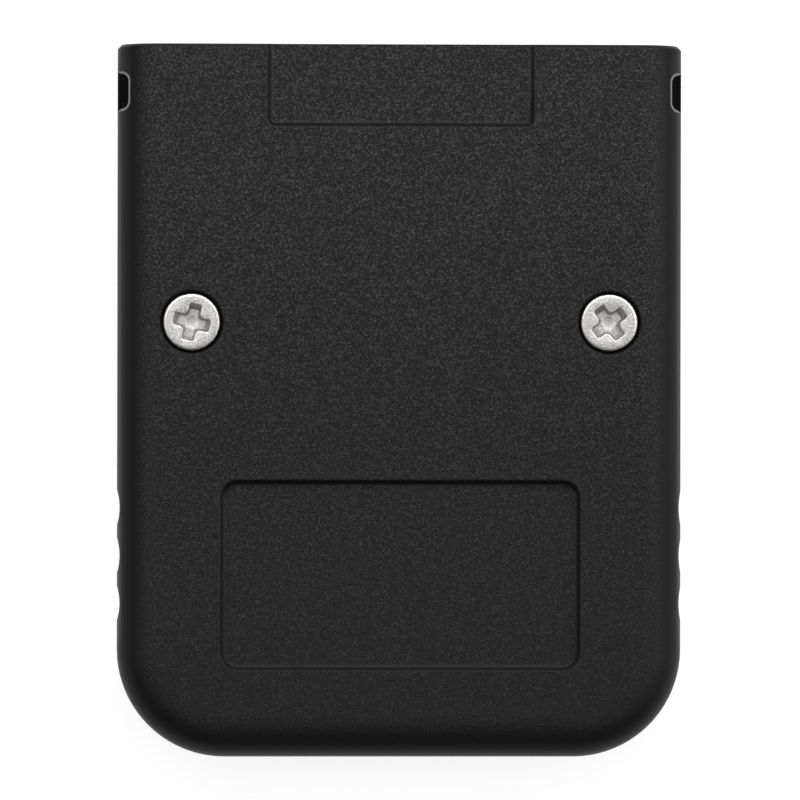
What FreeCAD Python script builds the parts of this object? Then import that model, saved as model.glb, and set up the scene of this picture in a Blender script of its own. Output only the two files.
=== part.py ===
import FreeCAD, Part
import math
import os
import Sketcher

# A memory card adapter: a console memory card's case that carries a small flash card.
# It lies on its front face with the screwed rear face up. +Y points to the connector end, which goes
# into the console, and the flash card goes into the slot in the other end. The origin is under the
# middle of the case, on the surface that it lies on. Lengths are in millimetres, angles in degrees.

SIZES = {
    # Case: outline, edges and walls
    "case_width": 41.5,
    "case_length": 52.3,
    "rear_depth": 3.6,
    "corner_round": 7.9,
    "back_round": 3.15,
    "flank": 0.4,
    "front_round": 1.5,
    "mouth_bevel": 0.3,
    "side_wall": 1.5,
    "end_wall": 2.0,
    "mouth_wall": 1.5,
    "skin": 1.2,
    "rib": 0.9,
    "seam": 0.1,
    # Lip of the front shell that locates the rear shell
    "lip_wall": 0.65,
    "lip_height": 0.6,
    "lip_play": 0.1,
    # Finger grips on both sides
    "grip_count": 3,
    "grip_pitch": 3.52,
    "grip_depth": 0.2,
    "grip_radius": 4.4,
    "grip_from_end": 14.82,
    # Latch notches beside the connector end
    "notch_length": 2.5,
    "notch_depth": 0.8,
    "notch_corner": 0.5,
    "notch_from_mouth": 2.2,
    "notch_web": 0.15,
    "notch_rim": 0.2,
    # Sunk fields: the label fields on both faces and the field behind the edge connector
    "field_rim": 0.2,
    "field_rim_drop": 0.13,
    "field_wall": 0.06,
    "field_slope": 0.42,
    "field_slope_drop": 0.26,
    "label_width": 26.2,
    "label_height": 13.75,
    "label_from_end": 6.54,
    "label_corner": 1.2,
    "front_label_width": 30.0,
    "front_label_height": 28.0,
    # Edge connector
    "contact_count": 12,
    "contact_pitch": 1.5,
    "contact_width": 1.0,
    "contact_length": 4.6,
    "contact_thickness": 0.06,
    "contact_setback": 0.35,
    "tongue_margin": 0.45,
    "tongue_setback": 0.6,
    "tongue_chamfer": 0.25,
    "window_play": 0.475,
    "window_length": 5.95,
    "window_corner": 0.55,
    "window_frame": 1.0,
    # Circuit board and what holds it
    "board_thickness": 1.0,
    "board_gap": 0.4,
    "post_diameter": 3.0,
    # Screws and their bosses
    "screw_inset": 5.45,
    "screw_from_mouth": 20.38,
    "head_diameter": 4.1,
    "head_height": 1.45,
    "head_sink": 0.12,
    "well_play": 0.2,
    "well_rim": 0.2,
    "well_rim_slope": 45.0,
    "core_diameter": 1.9,
    "thread_diameter": 2.5,
    "thread_play": 0.15,
    "pilot_play": 0.05,
    "shank_length": 4.6,
    "pilot_relief": 0.3,
    "drive_span": 2.84,
    "drive_width": 0.88,
    "drive_depth": 1.0,
    "drive_taper": 0.8,
    "left_drive_turn": -14.0,
    "right_drive_turn": -53.0,
    "boss_wall": 1.0,
    "spigot_wall": 1.25,
    "spigot_play": 0.15,
    # Flash card socket
    "card_width": 11.0,
    "card_thickness": 1.0,
    "card_play": 0.1,
    "card_side_play": 0.15,
    "slot_lead": 0.4,
    "socket_depth": 14.0,
    "socket_gap": 0.3,
    "base_floor": 0.5,
    "rail_width": 1.25,
    "stop_length": 1.4,
    "cover_sheet": 0.2,
    "foot_reach": 0.8,
    "foot_length": 1.4,
    "spring_width": 2.0,
    "spring_length": 5.0,
    "spring_slit": 0.35,
    "spring_offset": 3.0,
    "terminal_count": 8,
    "terminal_pitch": 1.1,
    "terminal_width": 0.45,
    "terminal_sheet": 0.15,
    "terminal_play": 0.1,
    "terminal_tail": 1.0,
    "terminal_root": 3.6,
    "terminal_rise": 3.2,
    "terminal_crown": 0.6,
    "terminal_tip": 0.9,
    "terminal_bite": 0.35,
    # Chips on the board
    "resistor_count": 4,
    "resistor_pitch": 3.4,
    "resistor_length": 1.6,
    "resistor_width": 0.8,
    "resistor_height": 0.5,
    "resistor_cap": 0.3,
    "resistor_from_window": 4.5,
    "capacitor_length": 2.0,
    "capacitor_width": 1.25,
    "capacitor_height": 0.95,
    "capacitor_cap": 0.45,
    "capacitor_from_socket": 1.8,
    "cap_swell": 0.03,
}

doc = FreeCAD.newDocument("memory_card_adapter")
sheet = doc.addObject("Spreadsheet::Sheet", "sizes")
for row, (name, number) in enumerate(SIZES.items(), start=1):
    sheet.set(f"A{row}", name)
    sheet.set(f"B{row}", str(number))
    sheet.setAlias(f"B{row}", name)
doc.recompute()

# Places that several pieces share, worked out from the sizes.
SIDE_X = "(sizes.case_width / 2)"
MOUTH_Y = "(sizes.case_length / 2)"
END_Y = f"(-{MOUTH_Y})"
CARD_SPACE = "(sizes.card_thickness + 2 * sizes.card_play)"
COVER_TOP = "(sizes.skin + sizes.socket_gap)"
CARD_LOW = f"({COVER_TOP} + sizes.cover_sheet)"
CARD_HIGH = f"({CARD_LOW} + {CARD_SPACE})"
BOARD_FRONT = f"({CARD_HIGH} + sizes.base_floor)"
PARTING = f"({BOARD_FRONT} + sizes.board_thickness)"
BACK = f"({PARTING} + sizes.rear_depth)"
BACK_ROUND = "min(sizes.back_round; sizes.rear_depth - sizes.flank)"
CAVITY_X = f"({SIDE_X} - sizes.side_wall)"
CAVITY_LOW = f"({END_Y} + sizes.end_wall)"
CAVITY_HIGH = f"({MOUTH_Y} - sizes.mouth_wall)"
CAVITY_ROUND = "(sizes.corner_round - sizes.side_wall)"
CONTACT_ROW = "((sizes.contact_count - 1) * sizes.contact_pitch)"
TONGUE_X = f"(({CONTACT_ROW} + sizes.contact_width) / 2 + sizes.tongue_margin)"
TONGUE_TIP = f"({MOUTH_Y} - sizes.tongue_setback)"
WINDOW_X = f"({TONGUE_X} + sizes.window_play)"
WINDOW_LOW = f"({MOUTH_Y} - sizes.window_length)"
FIELD_FOOT = "(sizes.field_rim_drop + sizes.field_wall)"
FIELD_DEPTH = f"({FIELD_FOOT} + sizes.field_slope_drop)"
SCREW_X = f"({SIDE_X} - sizes.screw_inset)"
SCREW_Y = f"({MOUTH_Y} - sizes.screw_from_mouth)"
SCREW_SEAT = f"({BACK} - sizes.head_sink - sizes.head_height)"
PILOT_FLOOR = f"({SCREW_SEAT} - sizes.shank_length - sizes.pilot_relief)"
WELL_DIAMETER = "(sizes.head_diameter + 2 * sizes.well_play)"
BOSS_DIAMETER = f"({WELL_DIAMETER} + 2 * sizes.boss_wall)"
PILOT_DIAMETER = "(sizes.core_diameter + 2 * sizes.pilot_play)"
SPIGOT_DIAMETER = f"({PILOT_DIAMETER} + 2 * sizes.spigot_wall)"
POST_X = f"({SIDE_X} - sizes.corner_round)"
POST_Y = f"({END_Y} + sizes.corner_round)"
BOARD_X = f"({CAVITY_X} - sizes.board_gap)"
BOARD_LOW = f"({CAVITY_LOW} + sizes.board_gap)"
BOARD_HIGH = f"({CAVITY_HIGH} - sizes.board_gap)"
SOCKET_INNER = f"({BOARD_LOW} + sizes.socket_depth)"
SLOT_X = "(sizes.card_width / 2 + sizes.card_side_play)"
SOCKET_X = f"({SLOT_X} + sizes.rail_width)"
COVER_X = f"({SOCKET_X} + sizes.cover_sheet)"
TERMINAL_ROOT_Y = f"({SOCKET_INNER} - sizes.terminal_root)"
TERMINAL_CROWN_Y = f"({TERMINAL_ROOT_Y} - sizes.terminal_rise)"
TERMINAL_TIP_Y = f"({TERMINAL_CROWN_Y} - sizes.terminal_crown - sizes.terminal_tip)"


def value(expression):
    """The number that an expression of the sheet has now."""
    return float(sheet.evalExpression(expression))


def new_body(label):
    return doc.addObject("PartDesign::Body", label)


def origin_feature(body, role):
    return next(item for item in body.Origin.OriginFeatures if item.Role == role)


def new_sketch(body, name, plane="XY_Plane", offset=None):
    """A sketch on one of the body's origin planes, moved along the plane's normal."""
    sketch = body.newObject("Sketcher::SketchObject", f"{body.Label}_{name}")
    sketch.AttachmentSupport = [(origin_feature(body, plane), "")]
    sketch.MapMode = "FlatFace"
    if offset is not None:
        sketch.setExpression("AttachmentOffset.Base.z", offset)
    return sketch


def hold(sketch, kind, *references, size):
    """A sized constraint that follows an expression of the sheet."""
    index = sketch.addConstraint(Sketcher.Constraint(kind, *references, value(size)))
    sketch.setExpression(f"Constraints[{index}]", size)


def hold_point(sketch, geometry, end, x, y):
    """Fix one end of a line by its two coordinates; "0" puts it on the axis."""
    horizontal_axis, vertical_axis = -1, -2
    for kind, size, axis in (("DistanceX", x, vertical_axis), ("DistanceY", y, horizontal_axis)):
        if size == "0":
            sketch.addConstraint(Sketcher.Constraint("PointOnObject", geometry, end, axis))
        else:
            hold(sketch, kind, -1, 1, geometry, end, size=size)


def add_polygon(sketch, points, closed=True):
    """Straight lines through points given as pairs of expressions."""
    places = [FreeCAD.Vector(value(x), value(y), 0) for x, y in points]
    if closed:
        places.append(places[0])
    lines = [
        sketch.addGeometry(Part.LineSegment(start, end))
        for start, end in zip(places, places[1:])
    ]
    for line, following in zip(lines, lines[1:] + lines[:1] if closed else lines[1:]):
        sketch.addConstraint(Sketcher.Constraint("Coincident", line, 2, following, 1))
    for line, (x, y) in zip(lines, points):
        hold_point(sketch, line, 1, x, y)
    if not closed:
        hold_point(sketch, lines[-1], 2, *points[-1])


def add_outline(sketch, x_limits, y_limits, low_round=None, high_round=None):
    """A rectangle between expressions, its corners at low or high y rounded where asked."""
    left, right = (value(limit) for limit in x_limits)
    low, high = (value(limit) for limit in y_limits)
    low_cut = value(low_round) if low_round else 0
    high_cut = value(high_round) if high_round else 0
    side_ends = [
        ((left + low_cut, low), (right - low_cut, low)),
        ((right, low + low_cut), (right, high - high_cut)),
        ((right - high_cut, high), (left + high_cut, high)),
        ((left, high - high_cut), (left, low + low_cut)),
    ]
    sides = [
        sketch.addGeometry(Part.LineSegment(FreeCAD.Vector(*start, 0), FreeCAD.Vector(*end, 0)))
        for start, end in side_ends
    ]
    corners = [
        (low_round, left + low_cut, low + low_cut, 180),
        (low_round, right - low_cut, low + low_cut, 270),
        (high_round, right - high_cut, high - high_cut, 0),
        (high_round, left + high_cut, high - high_cut, 90),
    ]
    sized_arcs = {}
    for index, (radius, x, y, start_angle) in enumerate(corners):
        before, after = sides[index - 1], sides[index]
        if not radius:
            sketch.addConstraint(Sketcher.Constraint("Coincident", before, 2, after, 1))
            continue
        circle = Part.Circle(FreeCAD.Vector(x, y, 0), FreeCAD.Vector(0, 0, 1), value(radius))
        quarter = (math.radians(start_angle), math.radians(start_angle + 90))
        arc = sketch.addGeometry(Part.ArcOfCircle(circle, *quarter))
        sketch.addConstraint(Sketcher.Constraint("Tangent", before, 2, arc, 1))
        sketch.addConstraint(Sketcher.Constraint("Tangent", arc, 2, after, 1))
        if radius in sized_arcs:
            sketch.addConstraint(Sketcher.Constraint("Equal", sized_arcs[radius], arc))
        else:
            sized_arcs[radius] = arc
            hold(sketch, "Radius", arc, size=radius)
    for side, kind in zip(sides, ("Horizontal", "Vertical", "Horizontal", "Vertical")):
        sketch.addConstraint(Sketcher.Constraint(kind, side))
    hold(sketch, "DistanceY", -1, 1, sides[0], 1, size=y_limits[0])
    hold(sketch, "DistanceX", -1, 1, sides[1], 1, size=x_limits[1])
    hold(sketch, "DistanceY", -1, 1, sides[2], 1, size=y_limits[1])
    hold(sketch, "DistanceX", -1, 1, sides[3], 1, size=x_limits[0])


def add_circle_pair(sketch, x, y, diameter):
    """Two equal circles, one on each side of the sketch's vertical axis."""
    circles = []
    for side in (-1, 1):
        centre = FreeCAD.Vector(side * value(x), value(y), 0)
        circle = Part.Circle(centre, FreeCAD.Vector(0, 0, 1), value(diameter) / 2)
        circles.append(sketch.addGeometry(circle))
    left, right = circles
    sketch.addConstraint(Sketcher.Constraint("Symmetric", left, 3, right, 3, -2))
    sketch.addConstraint(Sketcher.Constraint("Equal", left, right))
    hold(sketch, "DistanceX", -1, 1, right, 3, size=x)
    hold(sketch, "DistanceY", -1, 1, right, 3, size=y)
    hold(sketch, "Diameter", left, size=diameter)


def add_rectangle_pair(sketch, x_limits, y_limits):
    """A rectangle on the right and its twin on the left."""
    near, far = x_limits
    add_outline(sketch, (near, far), y_limits)
    add_outline(sketch, (f"-{far}", f"-{near}"), y_limits)


def pad(body, sketch, name, length, downwards=False):
    feature = body.newObject("PartDesign::Pad", f"{body.Label}_{name}")
    feature.Profile = sketch
    feature.Reversed = downwards
    feature.setExpression("Length", length)
    doc.recompute()
    return feature


def pocket(body, sketch, name, length=None, upwards=False):
    """A cut against the sketch's normal, or along it; without a length it goes right through."""
    volume_before = body.Shape.Volume
    feature = body.newObject("PartDesign::Pocket", f"{body.Label}_{name}")
    feature.Profile = sketch
    feature.Reversed = upwards
    if length is None:
        feature.Type = "ThroughAll"
    else:
        feature.setExpression("Length", length)
    doc.recompute()
    if body.Shape.Volume >= volume_before:
        raise RuntimeError(f"{feature.Label} cuts nothing")
    return feature


def cut_loft(body, name, sections):
    """A cut with straight walls from the first sketch to the last."""
    volume_before = body.Shape.Volume
    feature = body.newObject("PartDesign::SubtractiveLoft", f"{body.Label}_{name}")
    feature.Profile = sections[0]
    feature.Sections = sections[1:]
    feature.Ruled = True
    doc.recompute()
    if body.Shape.Volume >= volume_before:
        raise RuntimeError(f"{feature.Label} cuts nothing")


def pattern_along(body, original, name, axis, length, count):
    feature = body.newObject("PartDesign::LinearPattern", f"{body.Label}_{name}")
    feature.Originals = [original]
    feature.Direction = (origin_feature(body, axis), [""])
    feature.setExpression("Length", length)
    feature.setExpression("Occurrences", count)
    body.Tip = feature
    doc.recompute()
    return feature


def dress_edges(body, kind, name, size, wanted):
    """Fillet or Chamfer on the edges of the body that pass a test."""
    base = body.Tip
    chosen = [f"Edge{number}" for number, edge in enumerate(base.Shape.Edges, 1) if wanted(edge)]
    feature = body.newObject(f"PartDesign::{kind}", f"{body.Label}_{name}")
    feature.Base = (base, chosen)
    feature.setExpression("Radius" if kind == "Fillet" else "Size", size)
    doc.recompute()
    return feature


def edge_within(edge, x=None, y=None, z=None, slack=0.02):
    """Whether an edge stays inside the given ranges, each a pair of numbers."""
    box = edge.BoundBox
    spans = ((x, box.XMin, box.XMax), (y, box.YMin, box.YMax), (z, box.ZMin, box.ZMax))
    return all(
        wanted is None or (low >= wanted[0] - slack and high <= wanted[1] + slack)
        for wanted, low, high in spans
    )


def at(expression):
    """A range that holds one place only."""
    place = value(expression)
    return (place, place)


def add_case_plan(sketch):
    """The outline of the case, with round corners at the card end."""
    add_outline(sketch, (f"-{SIDE_X}", SIDE_X), (END_Y, MOUTH_Y), low_round="sizes.corner_round")


def add_cavity_plan(sketch, growth="0"):
    """The outline of the space inside the walls, grown outwards on all sides."""
    half_width = f"({CAVITY_X} + {growth})"
    limits = (f"({CAVITY_LOW} - {growth})", f"({CAVITY_HIGH} + {growth})")
    add_outline(sketch, (f"-{half_width}", half_width), limits, f"({CAVITY_ROUND} + {growth})")


def cut_grips(body):
    """Three shallow flutes for the fingers on each side, right through the shell."""
    sketch = new_sketch(body, "grip_plan")
    row = "((sizes.grip_count - 1) * sizes.grip_pitch)"
    first_y = f"({END_Y} + sizes.grip_from_end - {row} / 2)"
    centre_x = f"({SIDE_X} + sizes.grip_radius - sizes.grip_depth)"
    add_circle_pair(sketch, centre_x, first_y, "(2 * sizes.grip_radius)")
    first_grip = pocket(body, sketch, "first_grip", upwards=True)
    pattern_along(body, first_grip, "grips", "Y_Axis", row, "sizes.grip_count")


def add_cross_rib(body, level, height):
    """A rib from one screw boss to the other, which stiffens the shell and backs the board."""
    plan = new_sketch(body, "rib_plan", offset=level)
    y_limits = (f"({SCREW_Y} - sizes.rib / 2)", f"({SCREW_Y} + sizes.rib / 2)")
    add_outline(plan, (f"-{SCREW_X}", SCREW_X), y_limits)
    pad(body, plan, "rib", height)


def sink_field(body, name, face, inwards, half_width, y_limits, rounds):
    """A sunk field in the outer face at a height, its rim eased and its floor met by a shallow slope."""
    low, high = y_limits
    levels = (
        ("rim", "0", "sizes.field_rim"),
        ("shoulder", "sizes.field_rim_drop", "0"),
        ("foot", FIELD_FOOT, "0"),
        ("floor", FIELD_DEPTH, "(-sizes.field_slope)"),
    )
    sections = []
    for part, depth, growth in levels:
        plan = new_sketch(body, f"{name}_{part}", offset=f"({face} {inwards} {depth})")
        reach = f"({half_width} + {growth})"
        corners = [f"({radius} + {growth})" if radius else None for radius in rounds]
        add_outline(plan, (f"-{reach}", reach), (f"({low} - {growth})", f"({high} + {growth})"), *corners)
        sections.append(plan)
    cut_loft(body, name, sections)


def soften_seam(body):
    """The small bevel along the outer edge where the shells meet."""
    dress_edges(body, "Chamfer", "seam", "sizes.seam", lambda edge: edge_within(edge, z=at(PARTING)))


def make_front_shell():
    """The half that lies on the table: connector window, card slot, lip, bosses and posts."""
    body = new_body("front_shell")
    plan = new_sketch(body, "plan")
    add_case_plan(plan)
    pad(body, plan, "block", PARTING)
    mouth = at(MOUTH_Y)
    dress_edges(body, "Fillet", "edge_round", "sizes.front_round",
                lambda edge: edge_within(edge, z=(0, 0)) and not edge_within(edge, y=mouth))
    dress_edges(body, "Chamfer", "mouth_bevel", "sizes.mouth_bevel",
                lambda edge: edge_within(edge, y=mouth) and not edge_within(edge, z=at(PARTING)))
    soften_seam(body)

    cavity = new_sketch(body, "cavity_plan", offset=PARTING)
    add_cavity_plan(cavity)
    pocket(body, cavity, "cavity", f"{PARTING} - sizes.skin")
    lip = new_sketch(body, "lip_plan", offset=PARTING)
    add_cavity_plan(lip)
    add_cavity_plan(lip, "sizes.lip_wall")
    pad(body, lip, "lip", "sizes.lip_height")

    frame = new_sketch(body, "window_frame_plan", offset="sizes.skin")
    frame_x = f"({WINDOW_X} + sizes.window_frame)"
    add_outline(frame, (f"-{frame_x}", frame_x), (f"({WINDOW_LOW} - sizes.window_frame)", CAVITY_HIGH))
    pad(body, frame, "window_frame", f"{BOARD_FRONT} - sizes.skin")
    window = new_sketch(body, "window_plan")
    past_mouth = f"({MOUTH_Y} + sizes.mouth_wall)"
    add_outline(window, (f"-{WINDOW_X}", WINDOW_X), (WINDOW_LOW, past_mouth), "sizes.window_corner")
    pocket(body, window, "window", upwards=True)

    shoulders = new_sketch(body, "shoulder_plan", offset="sizes.skin")
    add_circle_pair(shoulders, SCREW_X, SCREW_Y, BOSS_DIAMETER)
    pad(body, shoulders, "shoulders", f"{BOARD_FRONT} - sizes.skin")
    add_cross_rib(body, "sizes.skin", f"{BOARD_FRONT} - sizes.skin")
    spigots = new_sketch(body, "spigot_plan", offset=BOARD_FRONT)
    add_circle_pair(spigots, SCREW_X, SCREW_Y, SPIGOT_DIAMETER)
    pad(body, spigots, "spigots", "sizes.board_thickness")
    pilots = new_sketch(body, "pilot_plan", offset=PARTING)
    add_circle_pair(pilots, SCREW_X, SCREW_Y, PILOT_DIAMETER)
    pocket(body, pilots, "pilots", f"{PARTING} - {PILOT_FLOOR}")
    posts = new_sketch(body, "post_plan", offset="sizes.skin")
    add_circle_pair(posts, POST_X, POST_Y, "sizes.post_diameter")
    pad(body, posts, "posts", f"{BOARD_FRONT} - sizes.skin")

    lead_end = f"({MOUTH_Y} - sizes.slot_lead)"
    slot = new_sketch(body, "slot_section", "XZ_Plane", MOUTH_Y)
    add_outline(slot, (f"-{SLOT_X}", SLOT_X), (CARD_LOW, CARD_HIGH))
    pocket(body, slot, "slot", "sizes.end_wall")
    lead_sections = []
    for name, plane, growth in (("outer", MOUTH_Y, "sizes.slot_lead"), ("inner", lead_end, "0")):
        section = new_sketch(body, f"slot_lead_{name}", "XZ_Plane", plane)
        half_width = f"({SLOT_X} + {growth})"
        add_outline(section, (f"-{half_width}", half_width),
                    (f"({CARD_LOW} - {growth})", f"({CARD_HIGH} + {growth})"))
        lead_sections.append(section)
    cut_loft(body, "slot_lead", lead_sections)
    cut_grips(body)
    label_low = f"({END_Y} + sizes.label_from_end)"
    sink_field(body, "label_field", "0", "+", "sizes.front_label_width / 2",
               (label_low, f"({label_low} + sizes.front_label_height)"),
               ("sizes.label_corner", "sizes.label_corner"))
    return body


def make_rear_shell():
    """The half with the screw wells, seen from outside as the back of the adapter."""
    body = new_body("rear_shell")
    plan = new_sketch(body, "plan", offset=PARTING)
    add_case_plan(plan)
    pad(body, plan, "block", "sizes.rear_depth")
    mouth = at(MOUTH_Y)
    dress_edges(body, "Fillet", "back_round", BACK_ROUND,
                lambda edge: edge_within(edge, z=at(BACK)) and not edge_within(edge, y=mouth))
    dress_edges(body, "Chamfer", "mouth_bevel", "sizes.mouth_bevel",
                lambda edge: edge_within(edge, y=mouth) and not edge_within(edge, z=at(PARTING)))
    soften_seam(body)

    cavity = new_sketch(body, "cavity_plan", offset=PARTING)
    add_cavity_plan(cavity)
    pocket(body, cavity, "cavity", "sizes.rear_depth - sizes.skin", upwards=True)
    rebate = new_sketch(body, "rebate_plan", offset=PARTING)
    add_cavity_plan(rebate, "(sizes.lip_wall + sizes.lip_play)")
    pocket(body, rebate, "rebate", "sizes.lip_height + sizes.lip_play", upwards=True)

    bosses = new_sketch(body, "boss_plan", offset=PARTING)
    add_circle_pair(bosses, SCREW_X, SCREW_Y, BOSS_DIAMETER)
    pad(body, bosses, "bosses", "sizes.rear_depth - sizes.skin")
    add_cross_rib(body, PARTING, "sizes.rear_depth - sizes.skin")
    posts = new_sketch(body, "post_plan", offset=PARTING)
    add_circle_pair(posts, POST_X, POST_Y, "sizes.post_diameter")
    pad(body, posts, "posts", "sizes.rear_depth - sizes.skin")
    wells = new_sketch(body, "well_plan", offset=BACK)
    add_circle_pair(wells, SCREW_X, SCREW_Y, WELL_DIAMETER)
    pocket(body, wells, "wells", "sizes.head_sink + sizes.head_height")
    rims = new_sketch(body, "well_rim_plan", offset=BACK)
    add_circle_pair(rims, SCREW_X, SCREW_Y, f"({WELL_DIAMETER} + 2 * sizes.well_rim)")
    sloped_rims = pocket(body, rims, "well_rims", "sizes.well_rim")
    sloped_rims.setExpression("TaperAngle", "-sizes.well_rim_slope * 1 deg")
    doc.recompute()
    bores = new_sketch(body, "bore_plan", offset=BACK)
    add_circle_pair(bores, SCREW_X, SCREW_Y, "(sizes.thread_diameter + 2 * sizes.thread_play)")
    pocket(body, bores, "bores")

    cut_grips(body)
    notches = new_sketch(body, "notch_plan", offset=BACK)
    notch_high = f"({MOUTH_Y} - sizes.notch_from_mouth)"
    notch_low = f"({notch_high} - sizes.notch_length)"
    notch_x = f"({SIDE_X} - sizes.notch_depth)"
    add_rectangle_pair(notches, (notch_x, f"({SIDE_X} + sizes.notch_depth)"), (notch_low, notch_high))
    notch_floor = f"({PARTING} + sizes.lip_height + sizes.lip_play + sizes.notch_web)"
    pocket(body, notches, "notches", f"{BACK} - {notch_floor}")
    dress_edges(body, "Fillet", "notch_corners", "sizes.notch_corner",
                lambda edge: abs(abs(edge.CenterOfMass.x) - value(notch_x)) < value("sizes.seam")
                and edge.BoundBox.ZLength > value("sizes.skin")
                and edge_within(edge, y=(value(notch_low), value(notch_high))))
    dress_edges(body, "Chamfer", "notch_rims", "sizes.notch_rim",
                lambda edge: abs(abs(edge.CenterOfMass.x) - value(notch_x)) < value("sizes.seam")
                and edge.BoundBox.ZLength < value("sizes.seam")
                and edge.CenterOfMass.z > value(f"{notch_floor} + sizes.notch_rim")
                and edge_within(edge, y=(value(notch_low), value(notch_high))))

    label_low = f"({END_Y} + sizes.label_from_end)"
    sink_field(body, "label_field", BACK, "-", "sizes.label_width / 2",
               (label_low, f"({label_low} + sizes.label_height)"),
               ("sizes.label_corner", "sizes.label_corner"))
    sink_field(body, "connector_field", BACK, "-", WINDOW_X,
               (WINDOW_LOW, f"({MOUTH_Y} + sizes.mouth_wall)"), ("sizes.window_corner", None))
    return body


def make_screw(side, turn):
    """A self-tapping screw with a flat head, a cross recess and a blunt end; its seat is at z = 0."""
    body = new_body(f"{side}_screw")
    section = new_sketch(body, "section", "XZ_Plane")
    head, core = (f"sizes.{part}_diameter / 2" for part in ("head", "core"))
    add_polygon(section, [
        ("0", "-sizes.shank_length"),
        (core, "-sizes.shank_length"),
        (core, "0"),
        (head, "0"),
        (head, "sizes.head_height"),
        ("0", "sizes.head_height"),
    ])
    turned = body.newObject("PartDesign::Revolution", f"{body.Label}_turned")
    turned.Profile = section
    turned.ReferenceAxis = (section, ["V_Axis"])
    doc.recompute()

    crosses = []
    levels = (("rim", "sizes.head_height", "1"), ("floor", "(sizes.head_height - sizes.drive_depth)",
                                                "(1 - sizes.drive_taper / 2)"))
    for name, height, scale in levels:
        cross = new_sketch(body, f"drive_{name}", offset=height)
        reach = f"(sizes.drive_span / 2 * {scale})"
        half = f"(sizes.drive_width / 2 * {scale})"
        corners = [(half, half), (half, reach), (f"-{half}", reach)]
        quarter_turns = [
            [(x, y) for x, y in corners],
            [(f"-{y}", x) for x, y in corners],
            [(f"-{x}", f"-{y}") for x, y in corners],
            [(y, f"-{x}") for x, y in corners],
        ]
        add_polygon(cross, [point for quarter in quarter_turns for point in quarter])
        crosses.append(cross)
    cut_loft(body, "drive", crosses)
    body.setExpression("Placement.Base.x", f"-{SCREW_X}" if side == "left" else SCREW_X)
    body.setExpression("Placement.Base.y", SCREW_Y)
    body.setExpression("Placement.Base.z", SCREW_SEAT)
    body.setExpression("Placement.Rotation.Angle", f"{turn} * 1 deg")
    doc.recompute()
    return body


def make_case_screws():
    screws = doc.addObject("Part::Compound", "case_screws")
    screws.Links = [make_screw("left", "sizes.left_drive_turn"), make_screw("right", "sizes.right_drive_turn")]
    doc.recompute()
    return screws


def make_circuit_board():
    """The board, its tongue in the connector window and its holes over the screw spigots."""
    body = new_body("circuit_board")
    plan = new_sketch(body, "plan", offset=BOARD_FRONT)
    add_outline(plan, (f"-{BOARD_X}", BOARD_X), (BOARD_LOW, BOARD_HIGH),
                f"({CAVITY_ROUND} - sizes.board_gap)")
    pad(body, plan, "sheet", "sizes.board_thickness")
    tongue = new_sketch(body, "tongue_plan", offset=BOARD_FRONT)
    add_outline(tongue, (f"-{TONGUE_X}", TONGUE_X), (WINDOW_LOW, TONGUE_TIP))
    pad(body, tongue, "tongue", "sizes.board_thickness")
    dress_edges(body, "Chamfer", "tongue_tip", "sizes.tongue_chamfer",
                lambda edge: edge_within(edge, y=at(TONGUE_TIP), z=at(BOARD_FRONT)))
    holes = new_sketch(body, "hole_plan", offset=PARTING)
    add_circle_pair(holes, SCREW_X, SCREW_Y, f"({SPIGOT_DIAMETER} + 2 * sizes.spigot_play)")
    pocket(body, holes, "holes")
    return body


def make_edge_contacts():
    """The row of contact pads on the tongue's front face."""
    body = new_body("edge_contacts")
    body.AllowCompound = True
    first = new_sketch(body, "first_plan", offset=BOARD_FRONT)
    left = f"(-({CONTACT_ROW} + sizes.contact_width) / 2)"
    tip = f"({TONGUE_TIP} - sizes.contact_setback)"
    add_outline(first, (left, f"({left} + sizes.contact_width)"), (f"({tip} - sizes.contact_length)", tip))
    contact = pad(body, first, "first_contact", "sizes.contact_thickness", downwards=True)
    pattern_along(body, contact, "row", "X_Axis", CONTACT_ROW, "sizes.contact_count")
    return body


def make_socket_base():
    """The socket's moulded channel: rails beside the card, a stop behind it, slits for the terminals."""
    body = new_body("socket_base")
    section = new_sketch(body, "section", "XZ_Plane", f"-{SOCKET_INNER}")
    add_polygon(section, [
        (f"-{SOCKET_X}", BOARD_FRONT),
        (f"-{SOCKET_X}", CARD_LOW),
        (f"-{SLOT_X}", CARD_LOW),
        (f"-{SLOT_X}", CARD_HIGH),
        (SLOT_X, CARD_HIGH),
        (SLOT_X, CARD_LOW),
        (SOCKET_X, CARD_LOW),
        (SOCKET_X, BOARD_FRONT),
    ])
    pad(body, section, "channel", "sizes.socket_depth")
    stop = new_sketch(body, "stop_plan", offset=CARD_HIGH)
    stop_limits = (f"({SOCKET_INNER} - sizes.stop_length)", SOCKET_INNER)
    add_outline(stop, (f"-{SLOT_X}", SLOT_X), stop_limits)
    pad(body, stop, "stop", CARD_SPACE, downwards=True)
    slit = new_sketch(body, "first_slit_plan", offset=BOARD_FRONT)
    row = "((sizes.terminal_count - 1) * sizes.terminal_pitch)"
    half_slit = "(sizes.terminal_width / 2 + sizes.terminal_play)"
    slit_limits = (f"({TERMINAL_TIP_Y} - sizes.terminal_play)", SOCKET_INNER)
    add_outline(slit, (f"(-{row} / 2 - {half_slit})", f"(-{row} / 2 + {half_slit})"), slit_limits)
    first_slit = pocket(body, slit, "first_slit", "sizes.base_floor")
    pattern_along(body, first_slit, "slits", "X_Axis", row, "sizes.terminal_count")
    return body


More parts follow.
